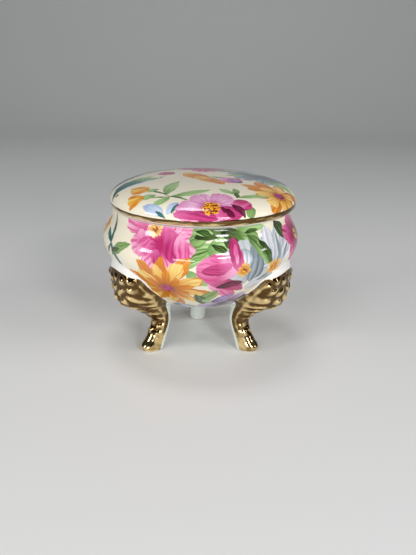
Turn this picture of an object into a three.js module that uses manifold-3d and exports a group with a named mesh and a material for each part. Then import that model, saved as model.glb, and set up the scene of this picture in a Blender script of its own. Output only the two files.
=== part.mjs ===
// Footed trinket box: a round porcelain bowl cast in one with three cabriole legs,
// under a domed lid that lifts off. Millimetres, +Z up, front towards -Y.
// The origin is on the bowl's axis, on the surface that the feet stand on.
import * as THREE from "three";
import Module from "manifold-3d";
import { mergeVertices } from "three/addons/utils/BufferGeometryUtils.js";

const wasm = await Module();
wasm.setup();

// Bowl, outside
const bellyRadius = 32.0;
const bellyHeight = 37.8;
const undersideRadius = 11.5;
const undersideHeight = 16.0;
const rimRadius = 28.6;
const rimHeight = 48.0;
const bowlWall = 2.6;

// Lid, outside
const lidOverhang = 1.5;
const lidEdgeTuck = 0.35;
const lidEdgeHeight = 1.6;
const lidRise = 8.7;
const domeSquareness = 2.6;
const lidWall = 2.5;

// Fit of the lid in the bowl's mouth
const seatGap = 0.3;
const lidPlay = 1.0;
const lidShiftShare = 0.6;
const flangeDepth = 3.0;
const flangeWall = 2.2;

// Legs
const legCount = 3;
const legTurn = 2;
const firstLegAzimuth = -60;
const reliefHeight = 0.5;
const kneeLobes = 5;

// Fineness of the faceted surface
const roundSegments = 56;
const curveSteps = 7;
const legLevels = 28;
const legSectionPoints = 18;
const edgeRound = 0.4;

const porcelain = () => new THREE.MeshStandardMaterial({ color: 0xe9e2d6, roughness: 0.08, metalness: 0 });

// Points along a cubic curve in the (radius, height) plane.
function cubic(from, pullFrom, pullTo, to, steps = curveSteps) {
  const curve = new THREE.CubicBezierCurve(
    new THREE.Vector2(...from),
    new THREE.Vector2(...pullFrom),
    new THREE.Vector2(...pullTo),
    new THREE.Vector2(...to)
  );
  return curve.getPoints(steps);
}

// The bowl's outer profile, from the edge of the flat underside up to the rim.
function bowlOuterProfile() {
  const sideHeight = bellyHeight - undersideHeight;
  const lower = cubic(
    [undersideRadius, undersideHeight],
    [undersideRadius + 0.22 * (bellyRadius - undersideRadius), undersideHeight + 0.055 * sideHeight],
    [bellyRadius, bellyHeight - 0.38 * sideHeight],
    [bellyRadius, bellyHeight],
    curveSteps + 3
  );
  const neckHeight = rimHeight - bellyHeight;
  const upper = cubic(
    [bellyRadius, bellyHeight],
    [bellyRadius, bellyHeight + 0.41 * neckHeight],
    [rimRadius + 0.09 * (bellyRadius - rimRadius), bellyHeight + 0.53 * neckHeight],
    [rimRadius, rimHeight - edgeRound]
  );
  return [...lower, ...upper.slice(1)];
}

// A profile moved inwards by a wall's thickness, square to its own direction.
function insetProfile(points, wall) {
  return points.map((point, i) => {
    const before = points[Math.max(i - 1, 0)];
    const after = points[Math.min(i + 1, points.length - 1)];
    const along = after.clone().sub(before).normalize();
    return new THREE.Vector2(point.x - wall * along.y, point.y + wall * along.x);
  });
}

// A closed solid turned from a profile that starts and ends on the axis. The profile
// runs from the bottom to the top, and the turned solid stands along +Z.
function turned(points) {
  const geometry = new THREE.LatheGeometry(points, roundSegments);
  geometry.rotateX(Math.PI / 2);
  return toSolid(geometry);
}

function toSolid(geometry) {
  geometry.deleteAttribute("normal");
  geometry.deleteAttribute("uv");
  const merged = mergeVertices(geometry, 1e-4);
  return new wasm.Manifold(
    new wasm.Mesh({
      numProp: 3,
      vertProperties: new Float32Array(merged.attributes.position.array),
      triVerts: new Uint32Array(merged.index.array)
    })
  );
}

function toGeometry(solid) {
  const mesh = solid.getMesh();
  const geometry = new THREE.BufferGeometry();
  geometry.setAttribute("position", new THREE.BufferAttribute(mesh.vertProperties, 3));
  geometry.setIndex(new THREE.BufferAttribute(mesh.triVerts, 1));
  return geometry;
}

const onAxis = (height) => new THREE.Vector2(0, height);

// Cabriole leg. Each station gives, as shares of the belly's height and radius: its
// height, the reach of the outer face, the reach where the leg is widest, the reach
// of the inner face, and half the leg's width. The upper stations end in the bowl.
const legStations = [
  { name: "sole", height: 0, outer: 0.68, side: 0.57, inner: 0.465, half: 0.084 },
  { name: "toe", height: 0.034, outer: 0.703, side: 0.57, inner: 0.453, half: 0.094 },
  { name: "instep", height: 0.106, outer: 0.653, side: 0.54, inner: 0.428, half: 0.091 },
  { name: "shin", height: 0.206, outer: 0.59, side: 0.49, inner: 0.388, half: 0.088 },
  { name: "ankle", height: 0.275, outer: 0.569, side: 0.469, inner: 0.372, half: 0.091 },
  { name: "calf", height: 0.35, outer: 0.644, side: 0.484, inner: 0.376, half: 0.109 },
  { name: "under the knee", height: 0.418, outer: 0.756, side: 0.531, inner: 0.395, half: 0.134 },
  { name: "knee corner", height: 0.492, outer: 0.912, side: 0.594, inner: 0.41, half: 0.19 },
  { name: "knee", height: 0.582, outer: 0.966, side: 0.672, inner: 0.375, half: 0.238 },
  { name: "brow", height: 0.688, outer: 0.98, side: 0.797, inner: 0.562, half: 0.256 },
  { name: "crown", height: 0.78, outer: 0.978, side: 0.884, inner: 0.688, half: 0.238 },
  { name: "top", height: 0.86, outer: 0.947, side: 0.906, inner: 0.781, half: 0.11 }
];

// A smooth line through the stations, carrying three of their sizes at once.
function stationLine(pick) {
  return new THREE.CatmullRomCurve3(legStations.map(pick), false, "centripetal");
}

// Outer reach, half width and height.
const faceLine = stationLine(
  (s) => new THREE.Vector3(s.outer * bellyRadius, s.half * bellyRadius, s.height * bellyHeight)
);

// Widest reach, inner reach and height.
const backLine = stationLine(
  (s) => new THREE.Vector3(s.side * bellyRadius, s.inner * bellyRadius, s.height * bellyHeight)
);

// Carved leafage on the leg's outer face: rows of rounded lobes that fall away from a
// middle rib, full on the knee and fading out above the plain foot.
function relief(along, across) {
  const { smoothstep } = THREE.MathUtils;
  const kneeShare = smoothstep(along, 0.36, 0.62) * (1 - smoothstep(along, 0.9, 1));
  const ankleShare = smoothstep(along, 0.16, 0.3) * (1 - kneeShare);
  const lobes = Math.abs(Math.sin(Math.PI * kneeLobes * (along * 2 + 0.25 * Math.abs(across))));
  const rib = Math.exp(-Math.pow(across / 0.22, 2));
  return reliefHeight * (kneeShare * (0.75 * lobes + 0.25 * rib) + 0.5 * ankleShare * lobes * rib);
}

// One ring of points around the leg at a share of its length.
function legRing(along) {
  const face = faceLine.getPoint(along);
  const back = backLine.getPoint(along);
  const ring = [];
  for (let i = 0; i < legSectionPoints; i += 1) {
    const angle = (2 * Math.PI * i) / legSectionPoints;
    const across = Math.sin(angle);
    const outward = Math.cos(angle);
    const depth = outward > 0 ? face.x - back.x : back.x - back.y;
    const fullness = Math.sign(outward) * Math.pow(Math.abs(outward), 0.8);
    const raised = Math.max(outward, 0) * relief(along, across);
    ring.push(new THREE.Vector3(back.x + depth * fullness + raised, face.y * across, face.z));
  }
  return ring;
}

// The leg as a closed skin of rings from the flat sole up into the bowl, its outer
// face towards +X.
function legSolid() {
  const positions = [];
  const faces = [];
  for (let level = 0; level <= legLevels; level += 1) {
    for (const point of legRing(level / legLevels)) {
      positions.push(point.x, point.y, point.z);
    }
  }
  const ringStart = (level) => level * legSectionPoints;
  for (let level = 0; level < legLevels; level += 1) {
    for (let i = 0; i < legSectionPoints; i += 1) {
      const next = (i + 1) % legSectionPoints;
      const a = ringStart(level) + i;
      const b = ringStart(level) + next;
      const c = ringStart(level + 1) + next;
      const d = ringStart(level + 1) + i;
      faces.push(a, b, c, a, c, d);
    }
  }
  const last = ringStart(legLevels);
  for (let i = 1; i < legSectionPoints - 1; i += 1) {
    faces.push(0, i + 1, i);
    faces.push(last, last + i, last + i + 1);
  }
  const geometry = new THREE.BufferGeometry();
  geometry.setAttribute("position", new THREE.Float32BufferAttribute(positions, 3));
  geometry.setIndex(faces);
  return toSolid(geometry);
}

// Azimuth runs from the front (-Y) towards the right (+X), in degrees.
function legAzimuths() {
  const spacing = 360 / legCount;
  return Array.from({ length: legCount }, (_, i) => firstLegAzimuth + legTurn + i * spacing);
}

function bowlGeometry() {
  const outside = bowlOuterProfile();
  let solid = turned([
    onAxis(undersideHeight),
    ...outside,
    new THREE.Vector2(rimRadius - edgeRound, rimHeight),
    onAxis(rimHeight)
  ]);
  const leg = legSolid();
  for (const azimuth of legAzimuths()) {
    solid = solid.add(leg.rotate([0, 0, azimuth - 90]));
  }
  const inside = insetProfile(outside, bowlWall);
  const mouth = inside[inside.length - 1].x;
  const cavity = turned([
    onAxis(undersideHeight + bowlWall),
    ...inside,
    new THREE.Vector2(mouth + edgeRound, rimHeight + 1),
    onAxis(rimHeight + 1)
  ]);
  return toGeometry(solid.subtract(cavity));
}

// The dome's profile from its axis out to its widest, as a squared ellipse.
function domeProfile(radius, rise, springHeight) {
  const steps = curveSteps + 3;
  return Array.from({ length: steps + 1 }, (_, i) => {
    const angle = (Math.PI / 2) * (i / steps);
    const power = 2 / domeSquareness;
    return new THREE.Vector2(
      radius * Math.pow(Math.sin(angle), power),
      springHeight + rise * Math.pow(Math.cos(angle), power)
    );
  });
}

function lidGeometry() {
  const radius = rimRadius + lidOverhang;
  const seat = rimHeight + seatGap;
  const spring = seat + lidEdgeHeight;
  const domeRise = lidRise - lidEdgeHeight;
  const outside = [...domeProfile(radius, domeRise, spring)].reverse();
  outside[outside.length - 1].x = 0;
  const edge = radius - lidEdgeTuck;
  const body = turned([
    onAxis(seat),
    new THREE.Vector2(edge - edgeRound, seat),
    new THREE.Vector2(edge, seat + edgeRound),
    ...outside
  ]);
  const mouth = rimRadius - bowlWall;
  const flangeRadius = mouth - lidPlay;
  const flangeFoot = seat - flangeDepth;
  const flange = turned([
    onAxis(flangeFoot),
    new THREE.Vector2(flangeRadius - edgeRound, flangeFoot),
    new THREE.Vector2(flangeRadius, flangeFoot + edgeRound),
    new THREE.Vector2(flangeRadius, seat + edgeRound),
    onAxis(seat + edgeRound)
  ]);
  const hollowRadius = flangeRadius - flangeWall;
  const inside = domeProfile(radius - lidWall, domeRise - lidWall, spring)
    .reverse()
    .filter((point) => point.x < hollowRadius - 0.2);
  inside[inside.length - 1].x = 0;
  const hollow = turned([
    onAxis(flangeFoot - 1),
    new THREE.Vector2(hollowRadius, flangeFoot - 1),
    new THREE.Vector2(hollowRadius, inside[0].y - 0.5),
    ...inside
  ]);
  return toGeometry(body.add(flange).subtract(hollow));
}

function piece(name, geometry) {
  const mesh = new THREE.Mesh(geometry, porcelain());
  mesh.name = name;
  return mesh;
}

const box = new THREE.Group();
box.add(piece("bowl", bowlGeometry()));

// The lid sits a little to one side, within its play in the mouth.
const lid = piece("lid", lidGeometry());
lid.position.x = lidShiftShare * lidPlay;
box.add(lid);

export default box;
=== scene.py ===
import math

import bpy
import numpy as np
from mathutils import Matrix, Vector


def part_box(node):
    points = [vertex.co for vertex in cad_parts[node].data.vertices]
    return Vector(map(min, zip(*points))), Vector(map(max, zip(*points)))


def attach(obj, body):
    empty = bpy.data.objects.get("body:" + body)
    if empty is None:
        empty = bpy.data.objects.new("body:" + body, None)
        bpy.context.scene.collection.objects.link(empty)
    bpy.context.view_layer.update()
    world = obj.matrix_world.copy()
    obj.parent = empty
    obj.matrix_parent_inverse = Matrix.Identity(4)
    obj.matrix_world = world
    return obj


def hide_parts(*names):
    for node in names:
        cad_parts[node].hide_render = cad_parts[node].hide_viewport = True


MM = 0.001

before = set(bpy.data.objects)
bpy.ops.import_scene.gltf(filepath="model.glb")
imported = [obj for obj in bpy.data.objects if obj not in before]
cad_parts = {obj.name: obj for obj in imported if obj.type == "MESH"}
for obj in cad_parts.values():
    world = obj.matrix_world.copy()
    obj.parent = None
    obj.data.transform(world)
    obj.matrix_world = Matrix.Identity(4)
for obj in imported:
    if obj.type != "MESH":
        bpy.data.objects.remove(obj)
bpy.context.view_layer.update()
bowl_low, bowl_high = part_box("bowl")
lid_low, lid_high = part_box("lid")

# Sizes read from the frame
BELLY_RADIUS = (bowl_high.x - bowl_low.x) / 2 / MM
RIM_HEIGHT = bowl_high.z / MM
LID_RADIUS = (lid_high.x - lid_low.x) / 2 / MM
LID_CENTRE_X = (lid_high.x + lid_low.x) / 2 / MM
LID_FOOT = lid_low.z / MM
LID_TOP = lid_high.z / MM

# Sizes of the bowl
BELLY_HEIGHT = 37.8
UNDERSIDE_RADIUS = 11.5
UNDERSIDE_HEIGHT = 16.0
UNDERSIDE_ROUNDING = 1.2
RIM_RADIUS = 28.6
BOWL_WALL = 2.6
RIM_ROUNDING = 0.9
MOUTH_FLARE = 0.7

# Sizes of the lid
SEAT_GAP = 0.3
SEAT_HEIGHT = RIM_HEIGHT + SEAT_GAP
LID_EDGE_TUCK = 0.35
LID_EDGE_HEIGHT = 1.6
LID_EDGE_ROUNDING = 1.3
LID_ROUND_IN = LID_RADIUS - LID_EDGE_TUCK - LID_EDGE_ROUNDING
LID_SPRING = SEAT_HEIGHT + LID_EDGE_HEIGHT
LID_RISE = LID_TOP - LID_SPRING
LID_WALL = 2.5
DOME_SQUARENESS = 2.6
FLANGE_RADIUS = 25.0
FLANGE_WALL = 2.2

# Legs: azimuth runs from the front towards the right, in degrees
LEG_AZIMUTHS = (-58, 62, 182)
LEG_ROOT_BLEND = 2.4
LEG_TOP_ROUNDING = 1.5
SOLE_ROUNDING = 0.5
KNEE_RELIEF = 0.7
BUMP_PITCH = 3.2

# Where one part of a leg fades into the next: heights, and shares of the way outwards
FOOT_TO_ANKLE = (5.0, 8.0)
ANKLE_END = (12.0, 16.0)
KNEE_START = (12.0, 16.5)
KNEE_END = (26.8, 30.6)
BACK_TO_FRONT = (0.02, 0.3)

# Gilding: how far it goes round a leg in degrees, its edges there, and the height of
# the lid's band above the seat
GILDED_ROUND = 112
GILDED_TOP = 30.7
GILDED_TOP_DROP = 0.8
GILDED_BOTTOM = 0.45
GILDED_BESIDE = 0.9
BAND_LOW = 0.6
BAND_HIGH = 2.15

# Unprinted glaze: the border beside a leg at two heights, and the edge of the underside
# as a length down the side
BORDER_HEIGHTS = (22, 31)
BORDER_WIDTHS = (0.8, 1.7)
UNDERSIDE_EDGE = (37.6, 38.0)

# Fineness
SKIN_GRID = 0.42
LATHE_SEGMENTS = 288
CAVITY_SEGMENTS = 168

# The leg's stations, as shares of the belly's height and radius: height, reach of the
# outer face, reach where it is widest, reach of the inner face, half the width.
LEG_STATIONS = np.array(
    [
        (0.000, 0.680, 0.570, 0.465, 0.084),
        (0.034, 0.703, 0.570, 0.453, 0.094),
        (0.106, 0.653, 0.540, 0.428, 0.091),
        (0.206, 0.590, 0.490, 0.388, 0.088),
        (0.275, 0.569, 0.469, 0.372, 0.091),
        (0.350, 0.644, 0.484, 0.376, 0.109),
        (0.418, 0.756, 0.531, 0.395, 0.134),
        (0.492, 0.912, 0.594, 0.410, 0.190),
        (0.582, 0.966, 0.672, 0.375, 0.238),
        (0.688, 0.980, 0.797, 0.562, 0.256),
        (0.780, 0.978, 0.884, 0.688, 0.238),
        (0.860, 0.947, 0.906, 0.781, 0.110),
    ]
)


def smoothstep(low, high, value):
    share = np.clip((value - low) / (high - low), 0, 1)
    return share * share * (3 - 2 * share)


def smooth_min(a, b, width):
    near = np.maximum(width - np.abs(a - b), 0) / width
    return np.minimum(a, b) - near * near * width / 4


def smooth_max(a, b, width):
    return -smooth_min(-a, -b, width)


def cubic(start, pull_start, pull_end, end, count):
    """Points along a cubic curve in the (radius, height) plane."""
    t = np.linspace(0, 1, count)[:, None]
    points = [np.array(p) for p in (start, pull_start, pull_end, end)]
    weights = ((1 - t) ** 3, 3 * t * (1 - t) ** 2, 3 * t * t * (1 - t), t**3)
    return sum(w * p for w, p in zip(weights, points))


def smooth_line(heights, values, count=1200):
    """A fine table of a smooth curve through stations that rise in height."""
    slopes = np.gradient(values, heights)
    fine = np.linspace(heights[0], heights[-1], count)
    i = np.clip(np.searchsorted(heights, fine) - 1, 0, len(heights) - 2)
    step = heights[i + 1] - heights[i]
    t = (fine - heights[i]) / step
    rest = 1 - t
    curve = values[i] * (1 + 2 * t) * rest**2 + values[i + 1] * t * t * (3 - 2 * t)
    curve += step * (slopes[i] * t * rest**2 - slopes[i + 1] * t * t * rest)
    return fine, curve


def run_along(line):
    """Length along a line of points, from its first point to each of them."""
    steps = np.hypot(*np.diff(line, axis=0).T)
    return np.concatenate([[0], np.cumsum(steps)])


# The bowl's outer profile


def bowl_side(count=1500):
    """The side's profile from the edge of the underside up to the rim."""
    side = BELLY_HEIGHT - UNDERSIDE_HEIGHT
    spread = BELLY_RADIUS - UNDERSIDE_RADIUS
    neck = RIM_HEIGHT - BELLY_HEIGHT
    draw_in = BELLY_RADIUS - RIM_RADIUS
    lower = cubic(
        (UNDERSIDE_RADIUS, UNDERSIDE_HEIGHT),
        (UNDERSIDE_RADIUS + 0.22 * spread, UNDERSIDE_HEIGHT + 0.055 * side),
        (BELLY_RADIUS, BELLY_HEIGHT - 0.38 * side),
        (BELLY_RADIUS, BELLY_HEIGHT),
        count,
    )
    upper = cubic(
        (BELLY_RADIUS, BELLY_HEIGHT),
        (BELLY_RADIUS, BELLY_HEIGHT + 0.41 * neck),
        (RIM_RADIUS + 0.09 * draw_in, BELLY_HEIGHT + 0.53 * neck),
        (RIM_RADIUS, RIM_HEIGHT),
        count,
    )
    return np.concatenate([lower, upper[1:]])


SIDE = bowl_side()
SIDE_SLOPE = np.gradient(SIDE[:, 0], SIDE[:, 1])
SIDE_RUN = run_along(SIDE[::-1])[::-1]


def run_at(height):
    """Length along the bowl's side from the rim down to a height."""
    return np.interp(height, SIDE[:, 1], SIDE_RUN)


# The bowl's skin as a distance field, negative inside


def body_distance(radius, height):
    side_radius = np.interp(height, SIDE[:, 1], SIDE[:, 0])
    slope = np.interp(height, SIDE[:, 1], SIDE_SLOPE)
    side = (radius - side_radius) / np.sqrt(1 + slope * slope)
    return smooth_max(side, UNDERSIDE_HEIGHT - height, UNDERSIDE_ROUNDING)


LEG_HEIGHTS = LEG_STATIONS[:, 0] * BELLY_HEIGHT
LEG_LINES = [
    smooth_line(LEG_HEIGHTS, LEG_STATIONS[:, column] * BELLY_RADIUS)
    for column in range(1, 5)
]
LEG_TOP = LEG_HEIGHTS[-1]
CREST_RUN = run_along(np.column_stack(LEG_LINES[0]))


def leg_frame(points, azimuth):
    """Reach out along the leg's plane, place across it, and height."""
    angle = math.radians(azimuth)
    x, y, z = points.T
    reach = x * math.sin(angle) - y * math.cos(angle)
    across = x * math.cos(angle) + y * math.sin(angle)
    return reach, across, z


def leg_section(height):
    return [np.interp(height, fine, line) for fine, line in LEG_LINES]


def bumps(across, along):
    """Rounded, slightly uneven bumps on a staggered grid, from 0 to 1."""
    aside = across + 0.20 * np.sin(2.1 * along + 0.6)
    onward = along + 0.22 * np.sin(2.9 * across + 1.1)
    first = np.cos(2 * math.pi * aside)
    second = np.cos(2 * math.pi * (0.5 * aside + 0.87 * onward))
    third = np.cos(2 * math.pi * (0.5 * aside - 0.87 * onward))
    return (first + second + third + 1.5) / 4.5


def leg_relief(outward, across, half, height):
    """Carved leafage: bumps over the knee, finer ones down the ankle, a plain foot, and
    a smooth border where the leg turns in. Gives it as a share of the knee's relief."""
    run = np.interp(height, LEG_LINES[0][0], CREST_RUN)
    knee = smoothstep(*KNEE_START, height) * (1 - smoothstep(*KNEE_END, height))
    ankle = smoothstep(*FOOT_TO_ANKLE, height) * (1 - smoothstep(*ANKLE_END, height))
    facing = smoothstep(*BACK_TO_FRONT, outward)
    knee_bumps = bumps(across / BUMP_PITCH, run / BUMP_PITCH)
    ankle_bumps = bumps((across - 0.6) / (BUMP_PITCH * 0.8), run / (BUMP_PITCH * 0.8))
    border = np.exp(-(((outward - 0.12) / 0.09) ** 2)) * (knee + ankle)
    return facing * (knee * knee_bumps + 0.6 * ankle * ankle_bumps) + 0.4 * border


def outward_share(reach, outer, side, inner):
    """From -1 on a leg's inner face, through 0 where it is widest, to 1 on its outer face."""
    return (reach - side) / np.where(reach > side, outer - side, side - inner)


def leg_level(reach, across, height):
    """Rough distance to the leg's surface, right in sign and at the surface."""
    outer, side, inner, half = leg_section(height)
    outward = outward_share(reach, outer, side, inner)
    ring = np.power(np.abs(outward) ** 2.5 + (across / half) ** 2, 0.45)
    size = np.minimum.reduce([half, outer - side, side - inner])
    relief = KNEE_RELIEF * leg_relief(outward, across, half, height)
    level = (ring - 1) * size - relief
    level = smooth_max(level, height - LEG_TOP, LEG_TOP_ROUNDING)
    return smooth_max(level, -height, SOLE_ROUNDING)


def leg_distance(points, azimuth):
    """The leg's level divided by its own steepness, which makes it a distance."""
    reach, across, height = leg_frame(points, azimuth)
    step = 0.05
    level = leg_level(reach, across, height)
    slope_out = leg_level(reach + step, across, height) - level
    slope_across = leg_level(reach, across + step, height) - level
    slope_up = leg_level(reach, across, height + step) - level
    steepness = np.sqrt(slope_out**2 + slope_across**2 + slope_up**2) / step
    return level / np.maximum(steepness, 0.6)


def nearest_leg(points):
    """Distance to the nearest leg, and which leg that is."""
    bearing = np.degrees(np.arctan2(points[:, 0], -points[:, 1]))
    turns = [np.mod(bearing - azimuth + 180, 360) - 180 for azimuth in LEG_AZIMUTHS]
    which = np.argmin(np.abs(turns), axis=0)
    distance = np.empty(len(points))
    for index, azimuth in enumerate(LEG_AZIMUTHS):
        mine = which == index
        distance[mine] = leg_distance(points[mine], azimuth)
    return distance, which


def skin_distance(points):
    """The bowl and its legs as one solid with the mouth filled in."""
    radius = np.hypot(points[:, 0], points[:, 1])
    height = points[:, 2]
    body = body_distance(radius, height)
    distance = body.copy()
    low = np.flatnonzero((height < LEG_TOP + 4) & (radius > 8))
    legs, _ = nearest_leg(points[low])
    distance[low] = smooth_min(body[low], legs, LEG_ROOT_BLEND)
    return smooth_max(distance, height - RIM_HEIGHT, RIM_ROUNDING)


def skin_gradient(points, step=0.04):
    slopes = []
    for axis in np.eye(3):
        ahead = skin_distance(points + axis * step)
        behind = skin_distance(points - axis * step)
        slopes.append((ahead - behind) / (2 * step))
    return np.stack(slopes, axis=1)


# Turning the field into a mesh of even quads


def sample_grid(low, high, spacing):
    axes = [np.arange(a, b + spacing, spacing) for a, b in zip(low, high)]
    shape = [len(a) for a in axes]
    field = np.empty(shape)
    for i, x in enumerate(axes[0]):
        y, z = np.meshgrid(axes[1], axes[2], indexing="ij")
        layer = np.stack([np.full(y.size, x), y.ravel(), z.ravel()], axis=1)
        field[i] = skin_distance(layer).reshape(shape[1:])
    return field


def cell_corners(field):
    """The field at each cell's eight corners, keyed by the corner's offset."""
    nx, ny, nz = (n - 1 for n in field.shape)
    corners = {}
    for dx in (0, 1):
        for dy in (0, 1):
            for dz in (0, 1):
                corners[dx, dy, dz] = field[dx : dx + nx, dy : dy + ny, dz : dz + nz]
    return corners


def cell_points(field, low, spacing):
    """One vertex for each cell that the surface crosses, at the mean of its crossings."""
    corners = cell_corners(field)
    inside_count = sum((c < 0).astype(np.int8) for c in corners.values())
    crossed = (inside_count > 0) & (inside_count < 8)
    total = np.zeros((crossed.sum(), 3))
    count = np.zeros(crossed.sum())
    for start, first in corners.items():
        for axis in range(3):
            if start[axis] == 1:
                continue
            end = tuple(1 if k == axis else v for k, v in enumerate(start))
            a = first[crossed]
            b = corners[end][crossed]
            cuts = (a < 0) != (b < 0)
            share = a[cuts] / (a[cuts] - b[cuts])
            place = np.tile(np.array(start, float), (cuts.sum(), 1))
            place[:, axis] = share
            total[cuts] += place
            count[cuts] += 1
    cells = np.argwhere(crossed)
    points = (cells + total / count[:, None]) * spacing + np.array(low)
    index = np.full(crossed.shape, -1)
    index[crossed] = np.arange(len(points))
    return points, index


def cell_quads(field, index):
    """A quad around each grid edge that the surface crosses, facing outwards."""
    quads = []
    inside = field < 0
    for axis in range(3):
        u = (axis + 1) % 3
        v = (axis + 2) % 3
        moved = [slice(None)] * 3
        kept = [slice(None)] * 3
        moved[axis] = slice(1, None)
        kept[axis] = slice(None, -1)
        start = inside[tuple(kept)]
        end = inside[tuple(moved)]
        for leaving in (True, False):
            edges = np.argwhere((start & ~end) if leaving else (~start & end))
            around = []
            for du, dv in ((1, 1), (0, 1), (0, 0), (1, 0)):
                cell = edges.copy()
                cell[:, u] -= du
                cell[:, v] -= dv
                around.append(index[tuple(cell.T)])
            quad = np.stack(around, axis=1)
            quads.append(quad if leaving else quad[:, ::-1])
    return np.concatenate(quads)


def skin_mesh():
    """The skin's points, pulled exactly onto the field, and its quads."""
    margin = 1.3
    reach = BELLY_RADIUS + margin
    low = (-reach, -reach, -margin)
    high = (reach, reach, RIM_HEIGHT + margin)
    field = sample_grid(low, high, SKIN_GRID)
    points, index = cell_points(field, low, SKIN_GRID)
    quads = cell_quads(field, index)
    for _ in range(3):
        distance = skin_distance(points)
        gradient = skin_gradient(points)
        length = np.maximum((gradient**2).sum(axis=1), 0.2)
        move = np.clip(distance / length, -0.2, 0.2)
        points = points - gradient * move[:, None]
    points[:, 2] = np.maximum(points[:, 2], 0)
    return points, quads


# Turned pieces


def turned_mesh(name, profile, centre_x=0.0, segments=LATHE_SEGMENTS):
    """A closed mesh turned from a profile that starts and ends on the axis, and runs
    so that its left side is outside when it is drawn with the height upwards."""
    angles = np.arange(segments) * 2 * math.pi / segments
    inner = profile[1:-1]
    ring = np.stack([np.cos(angles), np.sin(angles)], axis=1)
    points = []
    for radius, height in inner:
        circle = np.column_stack([ring * radius, np.full(segments, height)])
        points.append(circle)
    points = np.concatenate(points + [[[0, 0, profile[0][1]], [0, 0, profile[-1][1]]]])
    points[:, 0] += centre_x
    first = len(points) - 2
    last = len(points) - 1
    around = np.arange(segments)
    beyond = np.roll(around, -1)
    faces = []
    for level in range(len(inner) - 1):
        a = level * segments
        b = a + segments
        faces.extend(np.stack([a + around, a + beyond, b + beyond, b + around], axis=1).tolist())
    top = (len(inner) - 1) * segments
    faces.extend(np.stack([np.full(segments, first), beyond, around], axis=1).tolist())
    faces.extend(np.stack([np.full(segments, last), top + around, top + beyond], axis=1).tolist())
    return new_object(name, points, faces)


def new_object(name, points, faces):
    mesh = bpy.data.meshes.new(name)
    mesh.from_pydata((np.asarray(points) * MM).tolist(), [], faces)
    mesh.update()
    mesh.shade_smooth()
    thing = bpy.data.objects.new(name, mesh)
    bpy.context.scene.collection.objects.link(thing)
    return thing


def inset(profile, wall):
    """A profile moved inwards by a wall, square to its own direction."""
    along = np.gradient(profile, axis=0)
    along /= np.hypot(along[:, 0], along[:, 1])[:, None]
    return profile + wall * np.column_stack([-along[:, 1], along[:, 0]])


def bowl_cavity():
    """The solid that hollows the bowl, with its mouth flared to round the rim."""
    side = SIDE[:: len(SIDE) // 60]
    walls = inset(side, BOWL_WALL)
    walls = walls[walls[:, 1] < RIM_HEIGHT - 1.2]
    mouth = walls[-1, 0]
    turn = np.linspace(0, math.pi / 2, 6)
    across = mouth + MOUTH_FLARE * (1 - np.cos(turn))
    up = RIM_HEIGHT - MOUTH_FLARE + MOUTH_FLARE * np.sin(turn)
    flare = np.column_stack([across, up])
    above = [(mouth + 0.75, RIM_HEIGHT + 1), (0, RIM_HEIGHT + 1)]
    floor = UNDERSIDE_HEIGHT + BOWL_WALL
    profile = np.concatenate([[(0, floor), (4.0, floor), (8.0, floor)], walls, flare, above])
    return turned_mesh("cavity", profile, segments=CAVITY_SEGMENTS)


def hollow(piece, cavity):
    cut = piece.modifiers.new("hollow", "BOOLEAN")
    cut.operation = "DIFFERENCE"
    cut.solver = "MANIFOLD"
    cut.object = cavity
    depsgraph = bpy.context.evaluated_depsgraph_get()
    cut_mesh = bpy.data.meshes.new_from_object(piece.evaluated_get(depsgraph))
    piece.modifiers.clear()
    piece.data = cut_mesh
    bpy.data.objects.remove(cavity)


def dress(thing, material):
    thing.data.materials.clear()
    thing.data.materials.append(material)


def mesh_points(thing):
    flat = np.empty(len(thing.data.vertices) * 3, dtype=np.float32)
    thing.data.vertices.foreach_get("co", flat)
    return flat.reshape(-1, 3).astype(float) / MM


def keep_values(thing, name, values):
    """Stores one number for each vertex, for the material to read."""
    layer = thing.data.attributes.new(name, "FLOAT", "POINT")
    layer.data.foreach_set("value", np.asarray(values, dtype=np.float32))


# What the bowl's mesh keeps for its material


def gilding(points):
    """How far inside the gilding each point is, how far it is from the nearest leg, and how light
    the gold is painted there: the height of the carved relief, lifted on the plain foot and the
    leg's back, so that the relief's hollows get painted shade."""
    distance, which = nearest_leg(points)
    margin = np.empty(len(points))
    relief_for_painted_shade = np.empty(len(points))
    for index, azimuth in enumerate(LEG_AZIMUTHS):
        mine = which == index
        reach, across, height = leg_frame(points[mine], azimuth)
        outer, side, inner, half = leg_section(height)
        outward = outward_share(reach, outer, side, inner)
        facing = np.arctan2(np.abs(across) / half, outward)
        round_the_side = (math.radians(GILDED_ROUND) - facing) * half
        below_top = GILDED_TOP - GILDED_TOP_DROP * (across / half) ** 2 - height
        above_sole = height - GILDED_BOTTOM
        on_leg = GILDED_BESIDE - distance[mine]
        margin[mine] = np.minimum.reduce([round_the_side, below_top, above_sole, on_leg])
        # The plain foot and the leg's back get a mid level here, so the painted shade leaves them
        # half lit
        plain_foot = 1 - smoothstep(*FOOT_TO_ANKLE, height)
        plain_back = 0.3 * (1 - smoothstep(*BACK_TO_FRONT, outward))
        relief = leg_relief(outward, across, half, height)
        relief_for_painted_shade[mine] = relief + 0.5 * np.maximum(plain_foot, plain_back)
    return margin, distance, relief_for_painted_shade


def soft_normals(thing, points, outside):
    """Sets the skin's own normals, and leaves the turned inside as it is."""
    normals = np.empty(len(points) * 3, dtype=np.float32)
    thing.data.vertices.foreach_get("normal", normals)
    normals = normals.reshape(-1, 3)
    gradient = skin_gradient(points[outside])
    gradient /= np.maximum(np.linalg.norm(gradient, axis=1), 1e-6)[:, None]
    normals[outside] = gradient
    thing.data.normals_split_custom_set_from_vertices(normals.tolist())


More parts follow.
